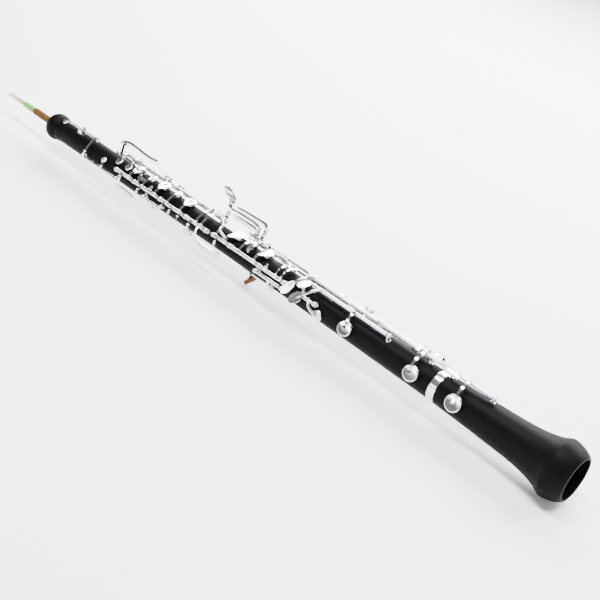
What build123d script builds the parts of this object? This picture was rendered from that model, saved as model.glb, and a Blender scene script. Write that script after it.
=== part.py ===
from build123d import *
import os
from math import sin, cos, radians, hypot, sqrt

os.makedirs("parts", exist_ok=True)

# Oboe lying with its finger plates up. The origin is on the bore axis at the
# bell's end face. +X runs from the reed to the bell mouth, +Z is the front of
# the instrument (finger plates), +Y is the player's left. Stations s are
# distances in mm from the bell's end face towards the reed, so X = -s. Angles a
# are in degrees round the bore axis, from +Z towards +Y.

# ---- driving dimensions (mm) ----
BODY_TOP = 599.0        # top of the finial
UPPER_END = 372.0       # shoulder between upper and lower joint
LOWER_END = 129.4       # shoulder between lower joint and bell
TENON_R = 7.3           # upper joint tenon
TENON_LEN = 16.0
FOOT_TENON_R = 9.3      # lower joint's tenon into the bell
FOOT_TENON_LEN = 16.0
FIT = 0.05              # radial running clearance
CORK_T = 0.4            # tenon cork thickness
REED_TIP = 666.0
WELL_R = 3.45
WELL_DEPTH = 17.0
ROD_R = 0.8             # steel pivot rods
TUBE_OD = 3.0           # hinge tubes
BALL_R = 2.1            # post heads
PAD_GAP = 0.3           # pad to tone-hole seat when shut
CUP_H = 2.3

UPPER_ROD = (-65.5, 14.6)     # main rod, player's right, upper joint
OCTAVE_ROD = (-98.0, 14.5)
VENT_ROD = (-96.0, 14.6)
TRILL_ROD_1 = (36.0, 14.6)
TRILL_ROD_2 = (53.0, 14.6)
SIDE_ROD = (72.0, 14.6)
G_SHARP_ROD = (92.0, 14.6)
LOWER_ROD = (-62.0, 15.2)     # main rod, lower joint
RING_ROD = (-62.3, 15.4)
LINK_ROD = (-81.5, 15.4)
F_ROD = (40.0, 14.9)
BB_ROD = (58.0, 18.6)
B_ROD = (76.0, 18.4)
EB_LEVER_ROD = (95.0, 17.8)
C_ROD = (-18.0, 17.0)
CS_ROD = (8.0, 17.0)
EB_ROD = (-64.0, 15.0)
BELL_ROD = (3.0, 18.2)

# outside radius of the wood at stations, upper joint, lower joint and bell
UPPER_R = [(372.0, 10.1), (470.0, 10.1), (552.0, 10.2), (574.5, 10.2)]
LOWER_R = [(129.4, 12.9), (147.5, 12.6), (163.0, 12.4), (179.0, 12.2), (195.0, 12.0),
           (212.0, 11.8), (229.0, 11.6), (290.0, 10.85), (354.0, 10.2), (372.0, 10.1)]
BELL_R = [(0.0, 18.7), (0.9, 19.9), (3.6, 21.55), (6.3, 22.7), (9.0, 23.55), (11.6, 24.2),
          (14.4, 24.6), (16.4, 24.65), (17.6, 24.4), (19.8, 23.3), (22.6, 21.85), (25.4, 20.8), (28.1, 20.0),
          (33.7, 18.65), (39.3, 17.7), (45.0, 16.95), (53.4, 16.25), (62.0, 15.8),
          (70.5, 15.4), (79.0, 15.0), (87.0, 14.5), (102.0, 13.9), (117.0, 13.35), (122.6, 13.15)]
BELL_BORE = [(0.0, 17.5), (3.0, 17.6), (8.0, 17.4), (14.0, 16.6), (20.0, 15.3), (28.0, 13.4),
             (38.0, 11.6), (52.0, 10.2), (70.0, 9.3), (92.0, 8.6), (113.0, 8.1)]


def wood_r(s):
    table = UPPER_R if s > UPPER_END else LOWER_R if s > LOWER_END else BELL_R
    for (s0, r0), (s1, r1) in zip(table, table[1:]):
        if s <= s1:
            return r0 + (r1 - r0) * (s - s0) / (s1 - s0)
    return table[-1][1]


def bore_r(s):
    return 2.1 + (582.0 - s) * 0.0129


# ---- placement: a key is drawn shut, then swung about its rod to its rest ----
swing = {"y": 0.0, "z": 0.0, "deg": 0.0}


def hang(rod=(0.0, 0.0), deg=0.0):
    a, r = rod
    swing.update(y=r * sin(radians(a)), z=r * cos(radians(a)), deg=deg)


def yz(a, r):
    y, z = r * sin(radians(a)) - swing["y"], r * cos(radians(a)) - swing["z"]
    t = radians(swing["deg"])
    return (y * cos(t) - z * sin(t) + swing["y"], y * sin(t) + z * cos(t) + swing["z"])


def seat(s, a, r, n=None):
    """Plane at a station, angle and radius; its normal points at angle n, else outward."""
    y, z = yz(a, r)
    b = radians((a if n is None else n) - swing["deg"])
    return Plane(origin=(-s, y, z), x_dir=(1, 0, 0), z_dir=(0, sin(b), cos(b)))


def along(s, rod):
    """Plane across a rod at a station, its normal along +X."""
    y, z = yz(*rod)
    return Plane(origin=(-s, y, z), x_dir=(0, 1, 0), z_dir=(1, 0, 0))


def smooth(pts, n=6):
    """Catmull-Rom samples through 2-D points."""
    p = [pts[0]] + list(pts) + [pts[-1]]
    out = []
    for i in range(1, len(p) - 2):
        for k in range(n):
            t = k / n
            out.append(tuple(
                0.5 * ((2 * p[i][j]) + (-p[i - 1][j] + p[i + 1][j]) * t
                       + (2 * p[i - 1][j] - 5 * p[i][j] + 4 * p[i + 1][j] - p[i + 2][j]) * t * t
                       + (-p[i - 1][j] + 3 * p[i][j] - 3 * p[i + 1][j] + p[i + 2][j]) * t ** 3)
                for j in (0, 1)))
    out.append(tuple(pts[-1]))
    return out


def ribbon(plane, pts, t0, t1, w, mode=Mode.ADD):
    """A bar of thickness t0 to t1 along a planar centre line, w wide across the plane."""
    c = smooth(pts)
    n = len(c)
    hi, lo = [], []
    for i, (x, y) in enumerate(c):
        x0, y0 = c[max(i - 1, 0)]
        x1, y1 = c[min(i + 1, n - 1)]
        d = hypot(x1 - x0, y1 - y0)
        nx, ny = -(y1 - y0) / d, (x1 - x0) / d
        h = (t0 + (t1 - t0) * i / (n - 1)) / 2
        hi.append((x + nx * h, y + ny * h))
        lo.append((x - nx * h, y - ny * h))
    with BuildSketch(plane.offset(-w / 2)) as sk:
        with BuildLine():
            a = Spline(*hi)
            b = Spline(*lo)
            Line(a @ 0, b @ 0)
            Line(a @ 1, b @ 1)
        make_face()
    extrude(sk.sketch, amount=w, mode=mode)


def arm(s, pts, w=2.2, t0=2.0, t1=1.6):
    """Key arm across the joint at station s through (angle, radius) points."""
    ribbon(Plane(origin=(-s, 0, 0), x_dir=(0, 1, 0), z_dir=(1, 0, 0)), [yz(a, r) for a, r in pts], t0, t1, w)


def strap(a, pts, w=4.0, t0=1.5, t1=1.5):
    """Lever lying along the joint at angle a through (station, radius) points."""
    out = []
    for s, r in pts:
        y, z = yz(a, r)
        out.append((s, y, z))
    b = radians(a - swing["deg"])
    y0, z0 = yz(a, 0.0)
    base = Plane(origin=(0, y0, z0), x_dir=(1, 0, 0), z_dir=(0, -cos(b), sin(b)))
    ribbon(base, [(-s, r) for s, r in pts], t0, t1, w)


def bar(pts, d):
    """Round bar along a space curve through (station, angle, radius) points."""
    with BuildLine() as ln:
        Spline(*[(-s, *yz(a, r)) for s, a, r in pts])
    with BuildSketch(Plane(origin=ln.line @ 0, z_dir=ln.line % 0)) as sk:
        Circle(d / 2)
    sweep(sk.sketch, path=ln.line)


def plate(plane, outline, t=1.5):
    """Flat touch with a smooth closed outline."""
    with BuildSketch(plane) as sk:
        with BuildLine():
            Spline(*outline, periodic=True)
        make_face()
    extrude(sk.sketch, amount=t)


def oval(lx, ly, spin=0.0, n=12, tip=1.0):
    """Outline points of an oval lx by ly, its +x half scaled by tip in width."""
    out = []
    for i in range(n):
        t = 360.0 * i / n
        x, y = lx / 2 * cos(radians(t)), ly / 2 * sin(radians(t))
        y *= 1 - (1 - tip) * (x / lx + 0.5)
        out.append((x * cos(radians(spin)) - y * sin(radians(spin)), x * sin(radians(spin)) + y * cos(radians(spin))))
    return out


def tube(s0, s1, rod, od=TUBE_OD):
    with Locations(along((s0 + s1) / 2, rod).location):
        Cylinder(od / 2, abs(s0 - s1))


def bored(s0, s1, rod, r=ROD_R + FIT):
    with Locations(along((s0 + s1) / 2, rod).location):
        Cylinder(r, abs(s0 - s1) + 6, mode=Mode.SUBTRACT)


def cup(s, a, r, d, hole=0.0, h=CUP_H):
    """Pad cup: rim 0.6 above the pad's face at radius r, domed top, recess for the pad."""
    pl = seat(s, a, r)
    prof = Plane(origin=pl.origin, x_dir=pl.x_dir, z_dir=-pl.y_dir)
    R = d / 2
    k = 0.6 + h
    with BuildSketch(prof) as sk:
        with BuildLine():
            p = Polyline((hole, k - 0.05), (hole, 1.9), (R - 0.55, 1.9), (R - 0.55, 0.6), (R, 0.6), (R, k - 0.95))
            q = ThreePointArc(p @ 1, (R - 0.28, k - 0.42), (R - 0.95, k - 0.2))
            ThreePointArc(q @ 1, ((R - 0.95 + hole) / 2, k - 0.06), p @ 0)
        make_face()
    revolve(sk.sketch, axis=Axis(pl.origin, pl.z_dir))


def pad(s, a, r, d, hole=0.0):
    pl = seat(s, a, r)
    with Locations(pl.location):
        Cylinder(d / 2 - 0.57, 1.9, align=(Align.CENTER, Align.CENTER, Align.MIN))
        if hole:
            Cylinder(hole, 6, mode=Mode.SUBTRACT)


def recess(s, a, r, d):
    """Clear the pad's seat inside a cup of anything that its arm left there."""
    with Locations(seat(s, a, r - 1.0).location):
        Cylinder(d / 2 - 0.55, 2.9, align=(Align.CENTER, Align.CENTER, Align.MIN), mode=Mode.SUBTRACT)


def finger_plate(s, a, r, d, tail, hole=0.0):
    """Finger plate: a cup whose rim runs down into a tail towards its arm."""
    cup(s, a, r, d, hole=hole)
    pl = seat(s, a, r + 0.6 + CUP_H - 1.5)
    tx, ty = tail
    R = d / 2 - 0.15
    n = hypot(tx, ty)
    ux, uy = tx / n, ty / n
    with BuildSketch(pl) as sk:
        with BuildLine():
            a0 = (-uy * R, ux * R)
            a1 = (uy * R, -ux * R)
            e0 = (tx - uy * 1.0, ty + ux * 1.0)
            e1 = (tx + uy * 1.0, ty - ux * 1.0)
            m0 = (ux * n * 0.55 - uy * R * 0.62, uy * n * 0.55 + ux * R * 0.62)
            m1 = (ux * n * 0.55 + uy * R * 0.62, uy * n * 0.55 - ux * R * 0.62)
            Spline(a0, m0, e0)
            Line(e0, e1)
            Spline(e1, m1, a1)
            ThreePointArc(a1, (-ux * (R - 0.1), -uy * (R - 0.1)), a0)
        make_face()
    extrude(sk.sketch, amount=1.1)
    if hole:
        with Locations(seat(s, a, r).location):
            Cylinder(hole, 12, mode=Mode.SUBTRACT)
    recess(s, a, r, d)


def post(s, rod, a=None):
    """Threaded post: stem in the wood, round flange in its pocket, waisted neck, ball head."""
    hang()
    a0, rr = rod
    rb = wood_r(s)
    pl = seat(s, a0 if a is None else a, 0.0)
    prof = Plane(origin=pl.origin, x_dir=pl.x_dir, z_dir=-pl.y_dir)
    nb = rb - 0.5
    with BuildSketch(prof) as sk:
        with BuildLine():
            p = Polyline((0, rr + BALL_R), (0, nb - 1.4), (0.8, nb - 1.4), (0.8, nb), (2.2, nb), (2.2, rb + 0.25),
                         (1.95, rb + 0.55), (1.15, rb + 0.75))
            yb = rr - sqrt(BALL_R ** 2 - 1.15 ** 2)
            q = Line(p @ 1, (1.15, max(yb, rb + 0.8)))
            ThreePointArc(q @ 1, (BALL_R, rr), p @ 0)
        make_face()
    revolve(sk.sketch, axis=Axis(pl.origin, pl.z_dir))


def drill(pairs):
    """Rod holes through post heads."""
    for s, rod in pairs:
        with Locations(along(s, rod).location):
            Cylinder(ROD_R, 7, mode=Mode.SUBTRACT)


def rod(s0, s1, axis_at):
    """Steel pivot rod with a turned end."""
    hang()
    with Locations(along((s0 + s1) / 2, axis_at).location):
        Cylinder(ROD_R, abs(s0 - s1))


def pockets(posts):
    """Flange pockets and stem holes for the posts."""
    hang()
    for s, (a, rr) in posts:
        rb = wood_r(s)
        with Locations(seat(s, a, rb - 0.5).location):
            Cylinder(2.25, 3, align=(Align.CENTER, Align.CENTER, Align.MIN), mode=Mode.SUBTRACT)
        with Locations(seat(s, a, rb - 1.95).location):
            Cylinder(0.8, 2, align=(Align.CENTER, Align.CENTER, Align.MIN), mode=Mode.SUBTRACT)


def tone_holes(holes):
    """Flat pad seats and holes into the bore: (station, angle, seat radius, cup diameter, hole radius)."""
    hang()
    for s, a, rs, d, rh in holes:
        with Locations(seat(s, a, rs).location):
            Cylinder(d / 2 + 0.5, 6, align=(Align.CENTER, Align.CENTER, Align.MIN), mode=Mode.SUBTRACT)
        with Locations(seat(s, a, rs).location):
            Cylinder(rh, rs, align=(Align.CENTER, Align.CENTER, Align.MAX), mode=Mode.SUBTRACT)


def turned(outer, inner):
    """Solid of revolution about the bore axis from (station, radius) points."""
    with BuildSketch(Plane.XZ) as sk:
        with BuildLine():
            Polyline(*[(-s, r) for s, r in outer], *[(-s, r) for s, r in reversed(inner)], (-outer[0][0], outer[0][1]))
        make_face()
    revolve(sk.sketch, axis=Axis.X)


# ---- tables of posts, rods and tone holes ----
UPPER_POSTS = [(492.8, UPPER_ROD), (468.7, UPPER_ROD), (434.6, UPPER_ROD), (401.8, UPPER_ROD), (376.4, UPPER_ROD),
               (538.4, OCTAVE_ROD), (491.0, OCTAVE_ROD), (453.9, VENT_ROD), (432.6, VENT_ROD),
               (505.4, TRILL_ROD_1), (450.2, TRILL_ROD_1), (376.6, TRILL_ROD_1),
               (493.8, TRILL_ROD_2), (436.0, TRILL_ROD_2), (376.8, TRILL_ROD_2),
               (521.0, SIDE_ROD), (498.5, SIDE_ROD), (402.6, G_SHARP_ROD), (375.4, G_SHARP_ROD)]
UPPER_RODS = [(494.9, 374.3, UPPER_ROD), (540.5, 488.9, OCTAVE_ROD), (456.0, 430.5, VENT_ROD),
              (507.5, 374.5, TRILL_ROD_1), (495.9, 374.7, TRILL_ROD_2), (523.1, 496.4, SIDE_ROD),
              (404.7, 373.3, G_SHARP_ROD)]
LOWER_POSTS = [(366.6, LOWER_ROD), (347.0, LOWER_ROD), (312.6, LOWER_ROD), (283.6, RING_ROD), (312.9, LINK_ROD), (283.4, LINK_ROD),
               (334.6, F_ROD), (303.4, F_ROD), (349.6, BB_ROD), (216.0, BB_ROD), (134.0, BB_ROD),
               (345.6, B_ROD), (148.0, B_ROD), (351.6, EB_LEVER_ROD), (262.0, EB_LEVER_ROD),
               (258.6, C_ROD), (179.4, C_ROD), (271.4, CS_ROD), (194.0, CS_ROD), (140.2, CS_ROD),
               (265.6, EB_ROD), (249.0, EB_ROD)]
LOWER_RODS = [(368.7, 310.5, LOWER_ROD), (310.4, 281.5, RING_ROD), (315.0, 281.3, LINK_ROD), (336.7, 301.3, F_ROD),
              (351.7, 131.9, BB_ROD), (347.7, 145.9, B_ROD), (353.7, 259.9, EB_LEVER_ROD), (260.7, 177.3, C_ROD),
              (273.5, 138.1, CS_ROD), (267.7, 246.9, EB_ROD)]
BELL_POSTS = [(120.0, BELL_ROD), (81.5, BELL_ROD)]

# station, angle, seat radius, cup diameter, hole radius
UPPER_HOLES = {
    "third_octave": (579.2, -12.2, 9.9, 5.6, 0.5), "first_octave": (513.1, -65.4, 9.7, 5.6, 0.5),
    "side_octave": (507.0, 112.0, 9.7, 5.6, 0.5),
    "trill_1": (498.9, -28.0, 9.6, 6.8, 1.6), "trill_2": (486.1, -28.0, 9.6, 6.8, 1.8),
    "plate_1": (474.6, -4.5, 9.4, 9.6, 1.5), "small_1": (456.3, -4.0, 9.5, 7.0, 1.8),
    "plate_2": (442.6, 0.5, 9.4, 11.0, 2.2), "small_2": (425.4, 3.8, 9.5, 7.2, 2.0),
    "plate_3": (410.1, 3.3, 9.4, 11.0, 2.4), "vent": (443.5, -138.0, 9.5, 7.0, 1.6),
    "g_sharp": (394.0, 132.0, 9.4, 8.0, 2.4)}
LOWER_HOLES = {
    "plate_4": (348.5, 0.5, 9.6, 11.0, 2.2), "small_3": (332.2, 8.4, 9.7, 7.4, 2.2),
    "plate_5": (315.7, 3.8, 9.9, 11.2, 2.6), "ring": (288.8, 12.8, 10.4, 9.8, 2.6),
    "f_key": (318.0, 84.0, 9.9, 8.6, 2.8), "link": (296.0, -122.0, 10.2, 7.4, 2.2),
    "eb": (243.3, -97.0, 11.0, 9.4, 3.4), "c": (214.3, -74.5, 11.2, 13.0, 4.4),
    "c_sharp": (236.0, 66.0, 11.0, 11.6, 3.8), "b": (146.0, -75.5, 12.1, 13.6, 4.8)}
BELL_HOLE = {"bb": (103.5, -75.5, 13.4, 14.2, 4.6)}

# =====================  wooden joints  =====================
upper_outer = [(UPPER_END - TENON_LEN, TENON_R - 0.3), (UPPER_END - TENON_LEN + 0.3, TENON_R), (UPPER_END - 13.0, TENON_R), (UPPER_END - 13.0, TENON_R - CORK_T * 0.5),
               (UPPER_END - 3.0, TENON_R - CORK_T * 0.5), (UPPER_END - 3.0, TENON_R), (UPPER_END, TENON_R)] + UPPER_R + [
               (577.0, 10.35), (579.5, 10.7), (582.2, 10.75), (583.6, 10.35), (584.8, 10.6), (586.4, 11.8), (588.4, 12.45), (590.6, 12.65),
               (592.8, 12.45), (595.0, 11.6), (597.0, 10.3), (598.4, 9.0), (BODY_TOP, 7.8)]
upper_inner = [(UPPER_END - TENON_LEN, bore_r(UPPER_END - TENON_LEN)), (BODY_TOP - WELL_DEPTH, 2.1), (BODY_TOP - WELL_DEPTH, WELL_R),
               (BODY_TOP - 0.6, WELL_R), (BODY_TOP, WELL_R + 0.6)]
with BuildPart() as upper_joint_body:
    turned(upper_outer, upper_inner)
    pockets(UPPER_POSTS)
    tone_holes(UPPER_HOLES.values())
    with Locations(seat(556.0, -8.0, 9.7).location):
        Box(8.6, 6.6, 6, align=(Align.CENTER, Align.CENTER, Align.MIN), mode=Mode.SUBTRACT)

lower_outer = [(LOWER_END - FOOT_TENON_LEN, FOOT_TENON_R - 0.3), (LOWER_END - FOOT_TENON_LEN + 0.3, FOOT_TENON_R), (LOWER_END - 13.0, FOOT_TENON_R),
               (LOWER_END - 13.0, FOOT_TENON_R - CORK_T * 0.5), (LOWER_END - 3.0, FOOT_TENON_R - CORK_T * 0.5), (LOWER_END - 3.0, FOOT_TENON_R),
               (LOWER_END, FOOT_TENON_R)] + LOWER_R[:-1] + [(UPPER_END - 0.4, 10.1), (UPPER_END - 0.02, 9.7)]
SOCKET_R = TENON_R + CORK_T * 0.5 + FIT
lower_inner = [(LOWER_END - FOOT_TENON_LEN, bore_r(LOWER_END - FOOT_TENON_LEN)), (UPPER_END - TENON_LEN - 0.5, bore_r(UPPER_END - TENON_LEN)),
               (UPPER_END - TENON_LEN - 0.5, SOCKET_R), (UPPER_END - 0.02, SOCKET_R)]
with BuildPart() as lower_joint_body:
    turned(lower_outer, lower_inner)
    pockets(LOWER_POSTS)
    tone_holes(LOWER_HOLES.values())
    hang()
    with Locations(seat(323.0, 180.0, wood_r(323.0) - 0.6).location):
        Box(24.2, 8.2, 6, align=(Align.CENTER, Align.CENTER, Align.MIN), mode=Mode.SUBTRACT)

BELL_SOCKET_R = FOOT_TENON_R + CORK_T * 0.5 + FIT
bell_outer = BELL_R + [(122.6, 12.3), (LOWER_END - 0.02, 12.3)]
bell_inner = BELL_BORE[:-1] + [(LOWER_END - FOOT_TENON_LEN - 0.5, 8.1), (LOWER_END - FOOT_TENON_LEN - 0.5, BELL_SOCKET_R), (LOWER_END - 0.02, BELL_SOCKET_R)]
with BuildPart() as bell_body:
    turned(bell_outer, bell_inner)
    pockets([p for p in BELL_POSTS if p[0] < 122.0])
    tone_holes(BELL_HOLE.values())
with BuildPart() as bell_ring:
    turned([(122.6, 13.2), (123.2, 13.45), (128.6, 13.3), (LOWER_END - 0.02, 13.0)], [(122.6, 12.3), (LOWER_END - 0.02, 12.3)])

with BuildPart() as upper_tenon_cork:
    turned([(UPPER_END - 13.0, TENON_R + CORK_T * 0.5), (UPPER_END - 3.0, TENON_R + CORK_T * 0.5)],
           [(UPPER_END - 13.0, TENON_R - CORK_T * 0.5), (UPPER_END - 3.0, TENON_R - CORK_T * 0.5)])
with BuildPart() as lower_tenon_cork:
    turned([(LOWER_END - 13.0, FOOT_TENON_R + CORK_T * 0.5), (LOWER_END - 3.0, FOOT_TENON_R + CORK_T * 0.5)],
           [(LOWER_END - 13.0, FOOT_TENON_R - CORK_T * 0.5), (LOWER_END - 3.0, FOOT_TENON_R - CORK_T * 0.5)])

# =====================  posts and rods  =====================
with BuildPart() as upper_posts:
    for s, at in UPPER_POSTS:
        post(s, at)
    drill(UPPER_POSTS)
with BuildPart() as upper_rods:
    for s0, s1, at in UPPER_RODS:
        rod(s0, s1, at)
with BuildPart() as lower_posts:
    for s, at in LOWER_POSTS:
        post(s, at)
    drill(LOWER_POSTS)
with BuildPart() as lower_rods:
    for s0, s1, at in LOWER_RODS:
        rod(s0, s1, at)
with BuildPart() as bell_posts:
    for s, at in BELL_POSTS:
        post(s, at)
    drill(BELL_POSTS)
with BuildPart() as bell_rod:
    rod(122.1, 79.4, BELL_ROD)

# saddle that carries the third octave key
with BuildPart() as third_octave_saddle:
    hang()
    with Locations(seat(556.0, -8.0, 9.7).location):
        Box(8.4, 6.4, 1.0, align=(Align.CENTER, Align.CENTER, Align.MIN))
    for side in (-2.5, 2.5):
        pl = seat(556.0, -8.0, 10.6)
        with Locations(Plane(origin=pl.origin + pl.y_dir * side, x_dir=pl.x_dir, z_dir=pl.z_dir).location):
            Box(4.4, 1.3, 4.6, align=(Align.CENTER, Align.CENTER, Align.MIN))
    pl = seat(556.0, -8.0, 13.4)
    with Locations(Plane(origin=pl.origin, x_dir=pl.x_dir, z_dir=pl.y_dir).location):
        Cylinder(ROD_R, 8, mode=Mode.SUBTRACT)
with BuildPart() as third_octave_pin:
    pl = seat(556.0, -8.0, 13.4)
    with Locations(Plane(origin=pl.origin, x_dir=pl.x_dir, z_dir=pl.y_dir).location):
        Cylinder(ROD_R, 6.6)

# =====================  reed  =====================
with BuildPart() as reed_staple:
    turned([(584.5, 2.35), (600.0, 2.35), (629.5, 1.9), (632.0, 1.8)], [(584.5, 1.95), (600.0, 1.95), (629.5, 1.5), (632.0, 1.4)])
with BuildPart() as reed_cork:
    turned([(585.5, 3.1), (586.5, 3.4), (624.0, 3.4), (626.0, 3.1)], [(585.5, 2.36), (600.0, 2.36), (626.0, 1.966)])
with BuildPart() as reed_cane:
    with BuildSketch(Plane.YZ.offset(-632.2)) as c0:
        Circle(1.8)
    with BuildSketch(Plane.YZ.offset(-642.0)) as c1:
        Ellipse(2.3, 2.0)
    with BuildSketch(Plane.YZ.offset(-654.0)) as c2:
        Ellipse(3.05, 1.35)
    with BuildSketch(Plane.YZ.offset(-REED_TIP)) as c3:
        Ellipse(3.55, 0.42)
    loft([c0.sketch, c1.sketch, c2.sketch, c3.sketch])
    with BuildSketch(Plane.YZ.offset(-632.2)) as d0:
        Circle(1.2)
    with BuildSketch(Plane.YZ.offset(-642.0)) as d1:
        Ellipse(1.7, 1.35)
    with BuildSketch(Plane.YZ.offset(-654.0)) as d2:
        Ellipse(2.5, 0.85)
    with BuildSketch(Plane.YZ.offset(-REED_TIP)) as d3:
        Ellipse(3.25, 0.2)
    loft([d0.sketch, d1.sketch, d2.sketch, d3.sketch], mode=Mode.SUBTRACT)
with BuildPart() as reed_thread:
    turned([(626.1, 2.6), (626.8, 2.95), (632.0, 3.0), (640.8, 2.75), (641.8, 2.3)], [(626.1, 1.97), (629.5, 1.92), (632.0, 1.82), (641.8, 1.82)])
    add(reed_cane.part, mode=Mode.SUBTRACT)

# =====================  thumb rest  =====================
with BuildPart() as thumb_rest:
    hang()
    rt = wood_r(323.0) - 0.6
    with Locations(seat(323.0, 180.0, rt).location):
        Box(24.0, 8.0, 1.4, align=(Align.CENTER, Align.CENTER, Align.MIN))
    ribbon(Plane(origin=(0, 0, 0), x_dir=(1, 0, 0), z_dir=(0, -1, 0)), [(-325.0, -(rt + 0.7)), (-325.6, -13.4), (-327.4, -17.0), (-330.8, -20.4)], 1.8, 1.6, 10.0)
with BuildPart() as thumb_rest_cork:
    ribbon(Plane(origin=(0, 0, 0), x_dir=(1, 0, 0), z_dir=(0, -1, 0)), [(-323.4, -13.2), (-324.2, -15.8), (-326.0, -18.9), (-328.6, -21.6)], 2.4, 4.4, 9.6)
    ribbon(Plane(origin=(0, 0, 0), x_dir=(1, 0, 0), z_dir=(0, -1, 0)), [(-325.0, -(rt + 0.7)), (-325.6, -13.4), (-327.4, -17.0), (-330.8, -20.4)], 1.8, 1.6, 10.0, mode=Mode.SUBTRACT)
with BuildPart() as thumb_rest_screws:
    for ds in (-9.0, 9.0):
        with Locations(seat(323.0 + ds, 180.0, rt + 1.4).location):
            Cylinder(1.6, 0.7, align=(Align.CENTER, Align.CENTER, Align.MIN))
            Box(3.4, 0.45, 1.0, mode=Mode.SUBTRACT)

# =====================  keys of the upper joint  =====================
# each lies open or shut at rest: OPEN is how far it is swung off its seat
OPEN = 7.0


def at(table, name):
    s, a, rs, d, rh = table[name]
    return s, a, rs + PAD_GAP, d


with BuildPart() as third_octave_key:
    hang()
    s, a, r, d = at(UPPER_HOLES, "third_octave")
    cup(s, a, r, d, h=1.7)
    bar([(579.2, -12.2, 12.1), (574.0, -11.2, 13.4), (564.0, -9.0, 13.7), (556.0, -8.0, 13.4), (546.0, -8.0, 13.5), (534.0, -9.0, 13.8)], 2.0)
    pl = seat(556.0, -8.0, 13.4)
    cross = Plane(origin=pl.origin, x_dir=pl.x_dir, z_dir=pl.y_dir)
    with Locations(cross.location):
        Cylinder(1.7, 3.2)
        Cylinder(ROD_R + FIT, 6, mode=Mode.SUBTRACT)
    plate(seat(534.0, -9.0, 13.4), oval(6.0, 3.4), 1.2)
    recess(s, a, r, d)
with BuildPart() as third_octave_pad:
    pad(s, a, r, d)

with BuildPart() as first_octave_key:
    hang(OCTAVE_ROD, 0.0)
    s, a, r, d = at(UPPER_HOLES, "first_octave")
    tube(536.1, 493.4, OCTAVE_ROD)
    cup(s, a, r, d, h=1.9)
    arm(510.2, [(-98.0, 15.2), (-88.0, 15.3), (-76.0, 14.0), (-68.0, 12.4)], w=2.0, t0=1.8, t1=1.4)
    bar([(510.2, -70.0, 12.6), (511.4, -66.0, 12.9), (513.1, -65.4, 12.1)], 1.7)
    arm(534.6, [(-98.0, 15.6), (-80.0, 15.4), (-60.0, 14.6), (-34.0, 14.8), (-20.0, 15.8), (-11.0, 16.2)], w=2.2, t0=1.8, t1=1.4)
    recess(s, a, r, d)
    bored(536.1, 493.4, OCTAVE_ROD)
with BuildPart() as first_octave_pad:
    pad(s, a, r, d)

with BuildPart() as thumb_octave_lever:
    hang(UPPER_ROD, 0.0)
    tube(490.4, 480.3, UPPER_ROD)
    arm(484.0, [(-65.5, 15.2), (-74.0, 16.0), (-86.0, 16.4), (-98.0, 17.2), (-106.0, 18.0)], w=2.6, t0=2.0, t1=1.8)
    plate(seat(474.0, -109.0, 17.6), oval(24.0, 7.2, tip=0.55), 1.4)
    bored(490.4, 480.3, UPPER_ROD)

with BuildPart() as side_octave_key:
    hang(SIDE_ROD, 0.0)
    s, a, r, d = at(UPPER_HOLES, "side_octave")
    tube(518.7, 500.8, SIDE_ROD)
    cup(s, a, r, d, h=1.9)
    arm(507.0, [(72.0, 15.2), (86.0, 15.6), (100.0, 14.4), (110.0, 12.2)], w=2.2, t0=1.8, t1=1.4)
    arm(516.6, [(72.0, 15.2), (64.0, 17.0), (54.0, 19.4), (47.5, 21.6)], w=3.0, t0=2.6, t1=2.4)
    strap(48.0, [(518.6, 20.2), (516.0, 23.2), (510.4, 24.8), (500.0, 24.6), (490.0, 23.8), (481.0, 23.7), (473.0, 24.8)], w=7.0, t0=2.4, t1=2.0)
    recess(s, a, r, d)
    bored(518.7, 500.8, SIDE_ROD)
with BuildPart() as side_octave_pad:
    pad(s, a, r, d)

with BuildPart() as trill_key_1:
    hang(TRILL_ROD_1, 0.0)
    s, a, r, d = at(UPPER_HOLES, "trill_1")
    tube(503.1, 452.6, TRILL_ROD_1)
    tube(447.8, 379.0, TRILL_ROD_1)
    arm(450.2, [(40.0, 18.2), (32.0, 18.2)], w=7.4, t0=1.0, t1=1.0)
    arm(453.5, [(36.0, 15.2), (36.5, 18.6)], w=1.8, t0=2.0, t1=2.0)
    arm(446.9, [(36.0, 15.2), (36.5, 18.6)], w=1.8, t0=2.0, t1=2.0)
    cup(s, a, r, d, h=1.9)
    arm(499.6, [(36.0, 15.0), (22.0, 15.6), (4.0, 14.9), (-14.0, 13.6), (-26.0, 12.2)], w=1.9, t0=1.9, t1=1.5)
    arm(388.2, [(36.0, 15.0), (24.0, 17.0), (12.0, 17.6), (2.0, 17.6)], w=2.2, t0=1.8, t1=1.6)
    recess(s, a, r, d)
    bored(503.1, 379.0, TRILL_ROD_1)
with BuildPart() as trill_pad_1:
    pad(s, a, r, d)

with BuildPart() as trill_key_2:
    hang(TRILL_ROD_2, 0.0)
    s, a, r, d = at(UPPER_HOLES, "trill_2")
    tube(491.5, 438.3, TRILL_ROD_2)
    tube(433.7, 379.1, TRILL_ROD_2)
    arm(436.0, [(57.0, 18.2), (49.0, 18.2)], w=7.4, t0=1.0, t1=1.0)
    arm(439.3, [(53.0, 15.2), (53.5, 18.6)], w=1.8, t0=2.0, t1=2.0)
    arm(432.7, [(53.0, 15.2), (53.5, 18.6)], w=1.8, t0=2.0, t1=2.0)
    cup(s, a, r, d, h=1.9)
    arm(486.8, [(53.0, 15.0), (45.0, 17.2), (34.0, 17.8), (18.0, 16.6), (2.0, 15.0), (-14.0, 13.5), (-26.0, 12.2)], w=1.9, t0=1.9, t1=1.5)
    arm(381.8, [(53.0, 15.0), (44.0, 17.4), (34.0, 18.2), (18.0, 17.8), (2.0, 17.6)], w=2.2, t0=1.8, t1=1.6)
    recess(s, a, r, d)
    bored(491.5, 379.1, TRILL_ROD_2)
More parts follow.
